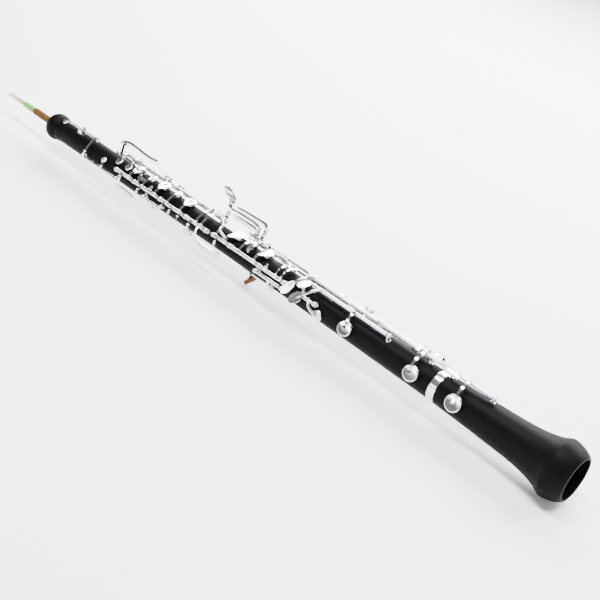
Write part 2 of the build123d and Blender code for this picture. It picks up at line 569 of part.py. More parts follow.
with BuildPart() as trill_pad_2:
    pad(s, a, r, d)

with BuildPart() as half_hole_key:
    hang(UPPER_ROD, OPEN)
    s, a, r, d = at(UPPER_HOLES, "plate_1")
    tube(480.0, 471.1, UPPER_ROD)
    finger_plate(s, a, r, d, (-0.5, -8.4), hole=0.8)
    plate(seat(470.2, -14.0, r + 1.5), oval(7.6, 6.4, spin=-30), 1.2)
    arm(475.1, [(-65.5, 15.2), (-56.0, 15.6), (-46.0, 15.1), (-36.0, 13.8), (-30.0, 12.7)], w=2.4, t0=2.2, t1=1.6)
    recess(s, a, r, d)
    bored(480.0, 471.1, UPPER_ROD)
with BuildPart() as half_hole_pad:
    pad(s, a, r, d, hole=0.8)

with BuildPart() as upper_vent_key:
    hang(UPPER_ROD, OPEN)
    s, a, r, d = at(UPPER_HOLES, "small_1")
    tube(466.3, 453.2, UPPER_ROD)
    cup(s, a, r, d)
    arm(457.3, [(-65.5, 15.2), (-54.0, 15.4), (-38.0, 14.1), (-22.0, 12.7), (-14.0, 12.2)], w=1.9, t0=2.0, t1=1.5)
    arm(464.0, [(-65.5, 15.2), (-56.0, 15.4), (-46.0, 14.4)], w=2.2, t0=1.8, t1=1.4)
    plate(seat(464.0, -42.0, 13.0), oval(8.6, 4.6), 1.3)
    arm(459.6, [(-65.5, 15.0), (-74.0, 16.6), (-84.0, 17.6), (-91.0, 17.6)], w=2.0, t0=1.9, t1=1.6)
    recess(s, a, r, d)
    bored(466.3, 453.2, UPPER_ROD)
with BuildPart() as upper_vent_pad:
    pad(s, a, r, d)

with BuildPart() as second_plate_key:
    hang(UPPER_ROD, OPEN)
    s, a, r, d = at(UPPER_HOLES, "plate_2")
    tube(452.9, 437.0, UPPER_ROD)
    finger_plate(s, a, r, d, (1.4, -8.8), hole=1.7)
    arm(441.1, [(-65.5, 15.2), (-56.0, 15.6), (-46.0, 15.2), (-36.0, 13.9), (-30.0, 12.9)], w=2.4, t0=2.2, t1=1.6)
    arm(448.0, [(-65.5, 15.2), (-54.0, 15.5), (-46.0, 15.0)], w=4.0, t0=1.6, t1=1.2)
    recess(s, a, r, d)
    bored(452.9, 437.0, UPPER_ROD)
with BuildPart() as second_plate_pad:
    pad(s, a, r, d, hole=1.7)

with BuildPart() as lower_vent_key:
    hang(UPPER_ROD, OPEN)
    s, a, r, d = at(UPPER_HOLES, "small_2")
    tube(432.2, 420.9, UPPER_ROD)
    cup(s, a, r, d)
    arm(424.9, [(-65.5, 15.2), (-54.0, 15.4), (-36.0, 14.0), (-18.0, 12.9), (-6.0, 12.3)], w=1.9, t0=2.0, t1=1.5)
    arm(427.6, [(-65.5, 15.0), (-74.0, 17.0), (-84.0, 17.8)], w=2.2, t0=1.9, t1=1.6)
    recess(s, a, r, d)
    bored(432.2, 420.9, UPPER_ROD)
with BuildPart() as lower_vent_pad:
    pad(s, a, r, d)

with BuildPart() as third_plate_key:
    hang(UPPER_ROD, OPEN)
    s, a, r, d = at(UPPER_HOLES, "plate_3")
    tube(420.5, 404.1, UPPER_ROD)
    finger_plate(s, a, r, d, (1.5, -8.8), hole=1.7)
    arm(408.5, [(-65.5, 15.2), (-56.0, 15.6), (-44.0, 15.2), (-32.0, 13.8), (-26.0, 12.9)], w=2.4, t0=2.2, t1=1.6)
    arm(418.0, [(-65.5, 15.0), (-74.0, 16.8), (-86.0, 17.6)], w=2.2, t0=1.9, t1=1.6)
    arm(407.4, [(-65.5, 15.0), (-74.0, 16.8), (-84.0, 17.8)], w=2.2, t0=1.9, t1=1.6)
    recess(s, a, r, d)
    bored(420.5, 404.1, UPPER_ROD)
with BuildPart() as third_plate_pad:
    pad(s, a, r, d, hole=1.7)

with BuildPart() as trill_lever_1:
    hang(UPPER_ROD, 0.0)
    tube(399.4, 385.7, UPPER_ROD)
    arm(388.2, [(-65.5, 15.2), (-54.0, 15.9), (-38.0, 15.8), (-18.0, 15.6), (3.0, 15.4)], w=2.2, t0=2.0, t1=1.4)
    arm(393.0, [(-65.5, 15.0), (-74.0, 16.6), (-86.0, 17.6), (-97.0, 18.2)], w=3.0, t0=2.2, t1=1.8)
    plate(seat(391.4, -99.0, 17.7), oval(11.5, 6.0), 1.5)
    bored(399.4, 385.7, UPPER_ROD)
with BuildPart() as trill_lever_2:
    hang(UPPER_ROD, 0.0)
    tube(385.3, 378.8, UPPER_ROD)
    arm(381.8, [(-65.5, 15.2), (-54.0, 15.9), (-38.0, 15.8), (-18.0, 15.6), (3.0, 15.4)], w=2.2, t0=2.0, t1=1.4)
    bar([(383.4, -68.0, 15.6), (383.0, -78.0, 18.0), (380.6, -88.0, 20.0), (377.0, -95.0, 21.2), (372.0, -98.0, 21.8)], 2.4)
    strap(-98.5, [(376.0, 21.2), (370.0, 22.0), (362.0, 22.4), (355.5, 22.0), (351.4, 20.6), (350.0, 19.2)], w=5.4, t0=1.6, t1=1.4)
    bored(385.3, 378.8, UPPER_ROD)

with BuildPart() as back_vent_key:
    hang(VENT_ROD, 0.0)
    s, a, r, d = at(UPPER_HOLES, "vent")
    tube(451.6, 434.9, VENT_ROD)
    cup(s, a, r, d, h=1.9)
    arm(443.5, [(-96.0, 15.0), (-108.0, 15.4), (-122.0, 14.2), (-134.0, 12.4)], w=2.2, t0=1.9, t1=1.5)
    arm(449.5, [(-96.0, 15.0), (-90.0, 15.9), (-86.0, 16.0)], w=3.0, t0=1.4, t1=1.2)
    recess(s, a, r, d)
    bored(451.6, 434.9, VENT_ROD)
with BuildPart() as back_vent_pad:
    pad(s, a, r, d)

with BuildPart() as g_sharp_key:
    hang(G_SHARP_ROD, 0.0)
    s, a, r, d = at(UPPER_HOLES, "g_sharp")
    tube(400.2, 377.8, G_SHARP_ROD)
    cup(s, a, r, d)
    arm(394.0, [(92.0, 15.2), (104.0, 15.8), (118.0, 14.6), (129.0, 12.6)], w=2.4, t0=2.0, t1=1.6)
    arm(384.6, [(92.0, 15.2), (82.0, 19.0), (70.0, 24.4), (58.0, 28.6), (47.0, 31.8), (43.0, 34.0)], w=4.4, t0=2.4, t1=1.8)
    plate(seat(387.6, 38.6, 35.4, n=78.0), oval(18.0, 8.6, spin=41), 1.5)
    recess(s, a, r, d)
    bored(400.2, 377.8, G_SHARP_ROD)
with BuildPart() as g_sharp_pad:
    pad(s, a, r, d)

# =====================  keys of the lower joint  =====================
with BuildPart() as bridge_lever:
    hang(LOWER_ROD, 0.0)
    tube(364.3, 357.4, LOWER_ROD)
    arm(363.2, [(-62.0, 15.8), (-52.0, 16.4), (-40.0, 16.6)], w=2.4, t0=2.2, t1=1.8)
    bar([(363.2, -46.0, 16.6), (363.8, -34.0, 16.9), (366.0, -18.0, 17.1), (371.0, -4.0, 17.2), (377.5, 3.0, 17.2)], 2.2)
    bar([(363.4, -40.0, 16.7), (360.0, -44.0, 17.8), (356.0, -48.0, 18.6), (352.0, -50.0, 18.8)], 2.0)
    arm(360.6, [(-62.0, 15.6), (-74.0, 16.8), (-86.0, 16.6), (-96.0, 16.0)], w=2.0, t0=1.9, t1=1.6)
    bored(364.3, 357.4, LOWER_ROD)

with BuildPart() as fourth_plate_key:
    hang(LOWER_ROD, OPEN)
    s, a, r, d = at(LOWER_HOLES, "plate_4")
    tube(357.0, 349.4, LOWER_ROD)
    finger_plate(s, a, r, d, (-3.6, -8.8), hole=0.55)
    with Locations(seat(s, a, r + 1.9).location):
        Cylinder(0.7, 0.95, align=(Align.CENTER, Align.CENTER, Align.MIN))
    arm(352.4, [(-62.0, 15.8), (-54.0, 16.2), (-44.0, 15.7), (-36.0, 14.4), (-30.0, 13.2)], w=2.4, t0=2.2, t1=1.6)
    recess(s, a, r, d)
    bored(357.0, 349.4, LOWER_ROD)
with BuildPart() as fourth_plate_pad:
    pad(s, a, r, d)

with BuildPart() as middle_vent_key:
    hang(LOWER_ROD, OPEN)
    s, a, r, d = at(LOWER_HOLES, "small_3")
    tube(344.6, 326.2, LOWER_ROD)
    cup(s, a, r, d)
    arm(335.3, [(-62.0, 15.8), (-50.0, 16.0), (-32.0, 14.9), (-14.0, 13.2), (-2.0, 12.4), (8.0, 12.1)], w=1.9, t0=2.0, t1=1.5)
    arm(337.6, [(-8.0, 12.9), (2.0, 12.6), (10.0, 13.2)], w=3.4, t0=1.4, t1=1.2)
    recess(s, a, r, d)
    bored(344.6, 326.2, LOWER_ROD)
with BuildPart() as middle_vent_pad:
    pad(s, a, r, d)

with BuildPart() as fifth_plate_key:
    hang(LOWER_ROD, OPEN)
    s, a, r, d = at(LOWER_HOLES, "plate_5")
    tube(325.8, 315.0, LOWER_ROD)
    finger_plate(s, a, r, d, (-2.2, -9.2), hole=0.55)
    arm(318.0, [(-62.0, 15.8), (-52.0, 16.3), (-40.0, 15.6), (-30.0, 14.2), (-25.0, 13.4)], w=2.4, t0=2.2, t1=1.6)
    recess(s, a, r, d)
    bored(325.8, 315.0, LOWER_ROD)
with BuildPart() as fifth_plate_pad:
    pad(s, a, r, d, hole=0.55)

with BuildPart() as ring_key:
    hang(RING_ROD, OPEN)
    s, a, r, d = at(LOWER_HOLES, "ring")
    tube(310.2, 286.0, RING_ROD)
    cup(s, a, r, d, hole=2.5)
    arm(292.4, [(-62.3, 16.0), (-50.0, 16.8), (-34.0, 16.2), (-16.0, 14.3), (-6.0, 13.0), (3.0, 12.5)], w=1.8, t0=2.0, t1=1.5)
    arm(286.6, [(-62.3, 16.0), (-50.0, 16.8), (-34.0, 16.2), (-16.0, 14.3), (-6.0, 13.0), (3.0, 12.5)], w=1.8, t0=2.0, t1=1.5)
    arm(304.0, [(-62.3, 16.0), (-52.0, 16.8), (-44.0, 17.0)], w=3.0, t0=1.6, t1=1.2)
    recess(s, a, r, d)
    bored(310.2, 286.0, RING_ROD)
with BuildPart() as ring_pad:
    pad(s, a, r, d, hole=2.6)

with BuildPart() as f_key:
    hang(F_ROD, 0.0)
    s, a, r, d = at(LOWER_HOLES, "f_key")
    tube(332.2, 305.8, F_ROD)
    cup(s, a, r, d)
    arm(318.0, [(40.0, 14.6), (52.0, 14.3), (66.0, 13.6), (80.0, 13.0)], w=2.4, t0=1.6, t1=1.5)
    bar([(322.6, 40.0, 15.4), (322.8, 30.0, 18.4), (323.2, 16.0, 18.9), (323.8, 0.0, 18.8), (325.4, -18.0, 18.6), (327.4, -34.0, 17.9), (328.6, -41.0, 17.4)], 2.6)
    plate(seat(327.2, -33.5, 17.4), oval(4.4, 9.0), 1.4)
    recess(s, a, r, d)
    bored(332.2, 305.8, F_ROD)
with BuildPart() as f_pad:
    pad(s, a, r, d)

with BuildPart() as forked_f_key:
    hang(LINK_ROD, 0.0)
    s, a, r, d = at(LOWER_HOLES, "link")
    tube(310.5, 285.8, LINK_ROD)
    cup(s, a, r, d)
    arm(296.0, [(-81.5, 16.0), (-94.0, 16.4), (-108.0, 15.0), (-119.0, 13.2)], w=2.2, t0=2.0, t1=1.6)
    recess(s, a, r, d)
    bored(310.5, 285.8, LINK_ROD)
with BuildPart() as forked_f_pad:
    pad(s, a, r, d)

with BuildPart() as low_c_key:
    hang(C_ROD, -OPEN)
    s, a, r, d = at(LOWER_HOLES, "c")
    tube(256.2, 181.8, C_ROD)
    cup(s, a, r, d, h=2.6)
    arm(214.6, [(-18.0, 17.6), (-28.0, 17.6), (-40.0, 16.8), (-52.0, 15.4), (-62.0, 14.6), (-74.0, 14.7)], w=2.4, t0=2.4, t1=1.4)
    bar([(249.6, -19.0, 18.2), (252.0, -28.0, 18.8), (256.0, -46.0, 18.9), (259.5, -62.0, 18.7), (262.5, -74.0, 18.6)], 2.4)
    plate(seat(263.8, -76.0, 17.8), oval(8.4, 15.0, spin=-36), 1.5)
    recess(s, a, r, d)
    bored(256.2, 181.8, C_ROD)
with BuildPart() as low_c_pad:
    pad(s, a, r, d)

with BuildPart() as c_sharp_key:
    hang(CS_ROD, 0.0)
    s, a, r, d = at(LOWER_HOLES, "c_sharp")
    tube(269.0, 196.4, CS_ROD)
    cup(s, a, r, d)
    arm(236.0, [(8.0, 17.6), (20.0, 18.2), (36.0, 17.4), (52.0, 15.6), (64.0, 14.2)], w=2.6, t0=2.2, t1=1.6)
    bar([(266.6, 6.0, 18.4), (267.6, -6.0, 18.9), (269.6, -20.0, 18.9), (271.8, -34.0, 18.8), (273.8, -49.0, 18.4), (275.2, -60.0, 18.2)], 2.4)
    plate(seat(275.9, -64.0, 17.4), oval(7.0, 15.0, spin=-26), 1.5)
    recess(s, a, r, d)
    bored(269.0, 196.4, CS_ROD)
with BuildPart() as c_sharp_pad:
    pad(s, a, r, d)

with BuildPart() as e_flat_key:
    hang(EB_ROD, 0.0)
    s, a, r, d = at(LOWER_HOLES, "eb")
    tube(263.2, 251.4, EB_ROD)
    cup(s, a, r, d)
    bar([(254.2, -64.0, 15.9), (252.6, -73.0, 16.9), (248.0, -86.0, 16.4), (243.6, -94.0, 14.6)], 2.2)
    bar([(261.8, -63.0, 15.9), (262.2, -52.0, 16.8), (264.0, -42.0, 17.4), (265.4, -34.0, 17.6)], 2.2)
    plate(seat(265.6, -34.0, 17.2), oval(11.4, 6.4, spin=43), 1.6)
    recess(s, a, r, d)
    bored(263.2, 251.4, EB_ROD)
with BuildPart() as e_flat_pad:
    pad(s, a, r, d)

with BuildPart() as low_b_key:
    hang(CS_ROD, -OPEN)
    s, a, r, d = at(LOWER_HOLES, "b")
    tube(191.6, 142.6, CS_ROD)
    cup(s, a, r, d, h=2.6)
    arm(147.6, [(8.0, 17.6), (-6.0, 18.0), (-22.0, 17.8), (-40.0, 17.2), (-56.0, 16.0), (-66.0, 15.4), (-76.0, 15.6)], w=2.4, t0=2.4, t1=1.4)
    arm(153.4, [(8.0, 17.6), (-2.0, 17.9), (-11.0, 17.6), (-18.0, 17.2)], w=4.0, t0=1.6, t1=1.2)
    recess(s, a, r, d)
    bored(191.6, 142.6, CS_ROD)
with BuildPart() as low_b_pad:
    pad(s, a, r, d)

with BuildPart() as low_b_lever:
    hang(B_ROD, 0.0)
    tube(343.2, 150.4, B_ROD)
    arm(341.0, [(76.0, 19.0), (70.0, 22.4), (61.0, 27.0), (52.6, 31.0)], w=3.4, t0=2.8, t1=2.4)
    strap(52.0, [(339.6, 29.4), (342.4, 31.6), (347.0, 32.1), (356.0, 31.8), (366.0, 31.4), (376.4, 30.6)], w=6.0, t0=2.8, t1=1.6)
    arm(152.6, [(76.0, 19.0), (69.0, 20.8), (58.0, 21.6), (44.0, 21.2), (24.0, 20.6), (6.0, 20.4), (-13.0, 20.2)], w=2.4, t0=1.8, t1=1.3)
    bored(343.2, 150.4, B_ROD)
with BuildPart() as low_b_flat_lever:
    hang(BB_ROD, 0.0)
    tube(347.2, 218.4, BB_ROD)
    tube(213.6, 136.4, BB_ROD)
    arm(216.0, [(58.0, 22.2), (52.0, 22.0)], w=7.4, t0=1.0, t1=1.0)
    arm(219.3, [(58.0, 19.2), (58.5, 22.6)], w=1.8, t0=2.0, t1=2.0)
    arm(212.7, [(58.0, 19.2), (58.5, 22.6)], w=1.8, t0=2.0, t1=2.0)
    arm(345.4, [(58.0, 19.2), (53.0, 22.6), (46.0, 26.2)], w=3.0, t0=2.2, t1=1.8)
    strap(45.0, [(343.9, 26.0), (349.0, 27.0), (358.0, 27.0), (368.0, 26.8), (377.6, 26.2)], w=5.0, t0=2.0, t1=1.5)
    arm(138.0, [(58.0, 19.2), (48.0, 21.4), (32.0, 22.2), (12.0, 22.4), (-11.0, 22.2)], w=2.4, t0=2.0, t1=1.6)
    strap(-11.0, [(139.0, 22.3), (134.0, 22.3), (129.0, 22.3), (124.4, 22.2)], w=4.0, t0=1.6, t1=1.2)
    bored(347.2, 136.4, BB_ROD)
with BuildPart() as e_flat_lever:
    hang(EB_LEVER_ROD, 0.0)
    tube(349.2, 264.4, EB_LEVER_ROD)
    arm(347.4, [(95.0, 18.4), (86.0, 20.6), (76.0, 23.6), (67.0, 25.4)], w=3.0, t0=2.2, t1=1.8)
    strap(66.0, [(345.8, 25.4), (351.0, 26.2), (360.0, 26.6), (370.0, 26.4), (378.4, 25.8)], w=5.0, t0=2.2, t1=1.6)
    arm(266.4, [(95.0, 18.4), (108.0, 18.2), (126.0, 17.0), (142.0, 16.0)], w=2.6, t0=1.8, t1=1.4)
    bored(349.2, 264.4, EB_LEVER_ROD)

# =====================  bell key  =====================
with BuildPart() as bell_key:
    hang(BELL_ROD, -OPEN)
    s, a, r, d = at(BELL_HOLE, "bb")
    tube(117.6, 83.9, BELL_ROD)
    cup(s, a, r, d, h=2.6)
    strap(-12.0, [(112.0, 18.6), (117.0, 19.5), (122.0, 19.7), (127.0, 19.4)], w=3.0, t0=1.6, t1=1.2)
    arm(114.6, [(3.0, 19.0), (-5.0, 19.4), (-12.5, 19.2)], w=3.0, t0=1.6, t1=1.4)
    arm(103.5, [(3.0, 18.8), (-10.0, 19.4), (-28.0, 19.2), (-46.0, 18.2), (-60.0, 17.2), (-76.0, 16.9)], w=2.4, t0=2.4, t1=1.4)
    recess(s, a, r, d)
    bored(117.6, 83.9, BELL_ROD)
with BuildPart() as bell_pad:
    pad(s, a, r, d)

PIECES = dict(
    upper_joint_body=upper_joint_body, lower_joint_body=lower_joint_body, bell_body=bell_body, bell_ring=bell_ring,
    upper_tenon_cork=upper_tenon_cork, lower_tenon_cork=lower_tenon_cork, upper_posts=upper_posts, upper_rods=upper_rods,
    lower_posts=lower_posts, lower_rods=lower_rods, bell_posts=bell_posts, bell_rod=bell_rod,
    third_octave_saddle=third_octave_saddle, third_octave_pin=third_octave_pin,
    reed_staple=reed_staple, reed_cork=reed_cork, reed_thread=reed_thread, reed_cane=reed_cane,
    thumb_rest=thumb_rest, thumb_rest_cork=thumb_rest_cork, thumb_rest_screws=thumb_rest_screws,
    third_octave_key=third_octave_key, first_octave_key=first_octave_key, thumb_octave_lever=thumb_octave_lever,
    side_octave_key=side_octave_key, trill_key_1=trill_key_1, trill_key_2=trill_key_2, half_hole_key=half_hole_key,
    upper_vent_key=upper_vent_key, second_plate_key=second_plate_key, lower_vent_key=lower_vent_key,
    third_plate_key=third_plate_key, trill_lever_1=trill_lever_1, trill_lever_2=trill_lever_2, back_vent_key=back_vent_key, g_sharp_key=g_sharp_key,
    bridge_lever=bridge_lever, fourth_plate_key=fourth_plate_key, middle_vent_key=middle_vent_key,
    fifth_plate_key=fifth_plate_key, ring_key=ring_key, f_key=f_key, forked_f_key=forked_f_key, low_c_key=low_c_key,
    c_sharp_key=c_sharp_key, e_flat_key=e_flat_key, low_b_key=low_b_key, low_b_lever=low_b_lever,
    low_b_flat_lever=low_b_flat_lever, e_flat_lever=e_flat_lever, bell_key=bell_key,
    second_plate_pad=second_plate_pad, third_plate_pad=third_plate_pad, fourth_plate_pad=fourth_plate_pad,
    fifth_plate_pad=fifth_plate_pad, ring_pad=ring_pad, low_c_pad=low_c_pad, low_b_pad=low_b_pad, bell_pad=bell_pad,
    g_sharp_pad=g_sharp_pad)
for name, piece in PIECES.items():
    piece.part.label = name
    export_step(piece.part, f"parts/{name}.step")
    print(name, len(piece.part.solids()), round(piece.part.volume, 1))
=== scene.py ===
import bpy
import bmesh
import math
import random
from mathutils import Vector, Matrix


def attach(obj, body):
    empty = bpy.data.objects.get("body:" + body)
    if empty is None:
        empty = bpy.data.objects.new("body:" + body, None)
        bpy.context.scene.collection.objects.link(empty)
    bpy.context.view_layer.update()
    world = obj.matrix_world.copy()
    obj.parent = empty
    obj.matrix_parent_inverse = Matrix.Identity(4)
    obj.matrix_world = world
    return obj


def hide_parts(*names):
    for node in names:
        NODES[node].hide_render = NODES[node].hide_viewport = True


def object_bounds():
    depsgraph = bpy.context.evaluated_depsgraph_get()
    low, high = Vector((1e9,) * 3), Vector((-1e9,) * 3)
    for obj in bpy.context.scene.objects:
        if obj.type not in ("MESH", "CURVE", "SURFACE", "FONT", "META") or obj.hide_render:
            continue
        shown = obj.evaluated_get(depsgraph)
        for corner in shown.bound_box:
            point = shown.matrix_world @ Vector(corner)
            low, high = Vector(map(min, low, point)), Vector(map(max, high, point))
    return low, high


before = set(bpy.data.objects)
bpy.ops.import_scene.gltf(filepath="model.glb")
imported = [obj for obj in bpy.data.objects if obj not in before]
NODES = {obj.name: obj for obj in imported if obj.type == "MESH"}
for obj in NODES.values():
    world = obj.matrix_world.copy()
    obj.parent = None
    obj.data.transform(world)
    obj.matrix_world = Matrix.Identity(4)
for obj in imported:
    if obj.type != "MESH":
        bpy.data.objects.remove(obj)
b0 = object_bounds()
MM = 0.001


# ---------------------------------------------------------------- helpers
def ax(a, r, s):
    """Point at station s, angle a (degrees from +Z towards +Y) and radius r, in mm, as metres."""
    return Vector((-s * MM, r * math.sin(math.radians(a)) * MM, r * math.cos(math.radians(a)) * MM))


def newmat(name):
    m = bpy.data.materials.new(name)
    m.use_nodes = True
    nt = m.node_tree
    nt.nodes.clear()
    out = nt.nodes.new("ShaderNodeOutputMaterial")
    p = nt.nodes.new("ShaderNodeBsdfPrincipled")
    nt.links.new(p.outputs[0], out.inputs[0])
    return m, nt, p


def coords(nt, scale=(1, 1, 1)):
    tc = nt.nodes.new("ShaderNodeTexCoord")
    mp = nt.nodes.new("ShaderNodeMapping")
    mp.inputs["Scale"].default_value = scale
    nt.links.new(tc.outputs["Object"], mp.inputs["Vector"])
    return mp.outputs["Vector"]


def noise(nt, vec, scale, detail=4.0, rough=0.55, dist=0.0):
    n = nt.nodes.new("ShaderNodeTexNoise")
    n.inputs["Scale"].default_value = scale
    n.inputs["Detail"].default_value = detail
    n.inputs["Roughness"].default_value = rough
    n.inputs["Distortion"].default_value = dist
    nt.links.new(vec, n.inputs["Vector"])
    return n.outputs["Fac"]


def ramp(nt, fac, stops, interp="LINEAR"):
    r = nt.nodes.new("ShaderNodeValToRGB")
    r.color_ramp.interpolation = interp
    e = r.color_ramp.elements
    while len(e) > len(stops):
        e.remove(e[-1])
    while len(e) < len(stops):
        e.new(0.5)
    for el, (pos, col) in zip(e, stops):
        el.position = pos
        el.color = (col[0], col[1], col[2], 1) if isinstance(col, (tuple, list)) else (col, col, col, 1)
    nt.links.new(fac, r.inputs["Fac"])
    return r.outputs["Color"]


def mix(nt, fac, a, b, mode="MIX"):
    m = nt.nodes.new("ShaderNodeMix")
    m.data_type = "RGBA"
    m.blend_type = mode
    for sock, v in ((m.inputs["Factor"], fac), (m.inputs["A"], a), (m.inputs["B"], b)):
        if isinstance(v, bpy.types.NodeSocket):
            nt.links.new(v, sock)
        elif isinstance(v, (tuple, list)):
            sock.default_value = (v[0], v[1], v[2], 1)
        else:
            sock.default_value = v
    return [o for o in m.outputs if o.type == "RGBA"][0]


def bump(nt, p, h, strength, dist=0.0001, prev=None):
    b = nt.nodes.new("ShaderNodeBump")
    b.inputs["Strength"].default_value = strength
    b.inputs["Distance"].default_value = dist
    nt.links.new(h, b.inputs["Height"])
    if prev is not None:
        nt.links.new(prev, b.inputs["Normal"])
    nt.links.new(b.outputs["Normal"], p.inputs["Normal"])
    return b.outputs["Normal"]


# ---------------------------------------------------------------- materials
def mat_wood():
    m, nt, p = newmat("grenadilla")
    v = coords(nt, (6, 55, 55))
    grain = noise(nt, v, 22.0, 8.0, 0.62, 0.35)
    fine = noise(nt, coords(nt, (20, 420, 420)), 9.0, 3.0, 0.5)
    cloud = noise(nt, coords(nt), 22.0, 3.0, 0.5)
    c1 = ramp(nt, grain, [(0.30, (0.0010, 0.0011, 0.0012)), (0.52, (0.0020, 0.0021, 0.0022)), (0.72, (0.0046, 0.0040, 0.0037))])
    c2 = mix(nt, cloud, c1, (0.0019, 0.0022, 0.0024))
    col = mix(nt, 0.25, c2, ramp(nt, fine, [(0.4, (0.0012, 0.0012, 0.0013)), (0.65, (0.0056, 0.0050, 0.0047))]))
    nt.links.new(col, p.inputs["Base Color"])
    rr = ramp(nt, grain, [(0.3, 0.42), (0.7, 0.54)])
    nt.links.new(rr, p.inputs["Roughness"])
    p.inputs["Specular IOR Level"].default_value = 0.038
    p.inputs["Coat Weight"].default_value = 0.0
    p.inputs["Coat Roughness"].default_value = 0.3
    n1 = bump(nt, p, grain, 0.22, 0.00006)
    bump(nt, p, fine, 0.18, 0.00003, n1)
    return m


def mat_silver(name="silver_plate", tint=(0.80, 0.792, 0.782), rough=0.10, dark=0.0):
    m, nt, p = newmat(name)
    v = coords(nt)
    cloud = noise(nt, v, 70.0, 4.0, 0.6)
    fine = noise(nt, coords(nt, (1, 6, 6)), 900.0, 3.0, 0.5)
    tarn = ramp(nt, cloud, [(0.35, tuple(c * (0.86 - dark) for c in tint)), (0.60, tint), (0.8, tuple(min(1, c * 1.03) for c in tint))])
    # painted shade: ambient occlusion darkens the metal's base colour in crevices, recesses and between parts, giving
    # dark outlines that stand in for shade
    painted_shade_ao = nt.nodes.new("ShaderNodeAmbientOcclusion")
    painted_shade_ao.samples = 6
    painted_shade_ao.inputs["Distance"].default_value = 0.0022
    painted_shade_ramp = ramp(nt, painted_shade_ao.outputs["AO"], [(0.30, (0.13, 0.12, 0.11)), (0.85, (1, 1, 1))])
    nt.links.new(mix(nt, 0.85, tarn, mix(nt, 1.0, tarn, painted_shade_ramp, "MULTIPLY")), p.inputs["Base Color"])
    p.inputs["Metallic"].default_value = 1.0
    nt.links.new(ramp(nt, cloud, [(0.3, rough * 0.75), (0.75, rough * 1.7)]), p.inputs["Roughness"])
    bump(nt, p, fine, 0.05, 0.00001)
    return m


def mat_steel():
    m, nt, p = newmat("rod_steel")
    v = coords(nt, (1, 8, 8))
    n = noise(nt, v, 600.0, 3.0, 0.5)
    nt.links.new(ramp(nt, n, [(0.3, (0.42, 0.42, 0.43)), (0.7, (0.60, 0.60, 0.61))]), p.inputs["Base Color"])
    p.inputs["Metallic"].default_value = 1.0
    nt.links.new(ramp(nt, n, [(0.3, 0.22), (0.7, 0.36)]), p.inputs["Roughness"])
    bump(nt, p, n, 0.06, 0.00001)
    return m


def mat_cork(name, c0, c1, c2):
    m, nt, p = newmat(name)
    v = coords(nt)
    vo = nt.nodes.new("ShaderNodeTexVoronoi")
    vo.inputs["Scale"].default_value = 950.0
    nt.links.new(v, vo.inputs["Vector"])
    n = noise(nt, v, 420.0, 6.0, 0.65)
    n2 = noise(nt, v, 120.0, 4.0, 0.6)
    col = mix(nt, 0.5, ramp(nt, vo.outputs["Distance"], [(0.1, c0), (0.45, c1), (0.8, c2)]), ramp(nt, n, [(0.35, c0), (0.55, c1), (0.72, c2)]))
    col = mix(nt, ramp(nt, n2, [(0.60, 0.0), (0.66, 0.7)]), col, tuple(c * 0.35 for c in c0))
    nt.links.new(col, p.inputs["Base Color"])
    p.inputs["Roughness"].default_value = 0.82
    p.inputs["Specular IOR Level"].default_value = 0.15
    n1 = bump(nt, p, vo.outputs["Distance"], 0.35, 0.00012)
    bump(nt, p, n, 0.4, 0.00015, n1)
    return m


def mat_cane():
    m, nt, p = newmat("reed_cane_blade")
    st = noise(nt, coords(nt, (6, 220, 220)), 9.0, 6.0, 0.6)
    cl = noise(nt, coords(nt), 160.0, 3.0, 0.5)
    base = ramp(nt, st, [(0.3, (0.22, 0.145, 0.055)), (0.5, (0.34, 0.24, 0.105)), (0.7, (0.46, 0.35, 0.175))])
    gr = nt.nodes.new("ShaderNodeSeparateXYZ")
    tc = nt.nodes.new("ShaderNodeTexCoord")
    nt.links.new(tc.outputs["Object"], gr.inputs[0])
    mr = nt.nodes.new("ShaderNodeMapRange")
    mr.inputs["From Min"].default_value = -0.643
    mr.inputs["From Max"].default_value = -0.666
    nt.links.new(gr.outputs["X"], mr.inputs["Value"])
    tip = ramp(nt, mr.outputs[0], [(0.0, (0.62, 0.52, 0.33)), (0.3, (0.85, 0.76, 0.55)), (0.7, (1.0, 0.94, 0.80)), (1.0, (0.80, 0.68, 0.50))])
    nt.links.new(mix(nt, cl, mix(nt, 1.0, base, tip, "MULTIPLY"), mix(nt, 0.4, base, tip)), p.inputs["Base Color"])
    p.inputs["Roughness"].default_value = 0.55
    p.inputs["Subsurface Weight"].default_value = 0.12
    p.inputs["Subsurface Scale"].default_value = 0.001
    bump(nt, p, st, 0.25, 0.00006)
    return m


def mat_thread():
    m, nt, p = newmat("reed_thread_nylon")
    v = coords(nt)
    n = noise(nt, v, 1800.0, 3.0, 0.5)
    n2 = noise(nt, v, 300.0, 3.0, 0.5)
    g = ramp(nt, n2, [(0.3, (0.030, 0.21, 0.004)), (0.55, (0.062, 0.34, 0.007)), (0.75, (0.16, 0.45, 0.008))])
    nt.links.new(mix(nt, n, g, (0.075, 0.37, 0.007)), p.inputs["Base Color"])
    p.inputs["Roughness"].default_value = 0.42
    p.inputs["Sheen Weight"].default_value = 0.25
    bump(nt, p, n, 0.3, 0.00004)
    return m


def mat_pad(name="pad_skin", c=(0.66, 0.58, 0.44)):
    m, nt, p = newmat(name)
    n = noise(nt, coords(nt), 900.0, 5.0, 0.6)
    nt.links.new(ramp(nt, n, [(0.3, tuple(x * 0.75 for x in c)), (0.6, c), (0.8, tuple(min(1, x * 1.15) for x in c))]), p.inputs["Base Color"])
    p.inputs["Roughness"].default_value = 0.72
    p.inputs["Sheen Weight"].default_value = 0.15
    bump(nt, p, n, 0.25, 0.00005)
    return m


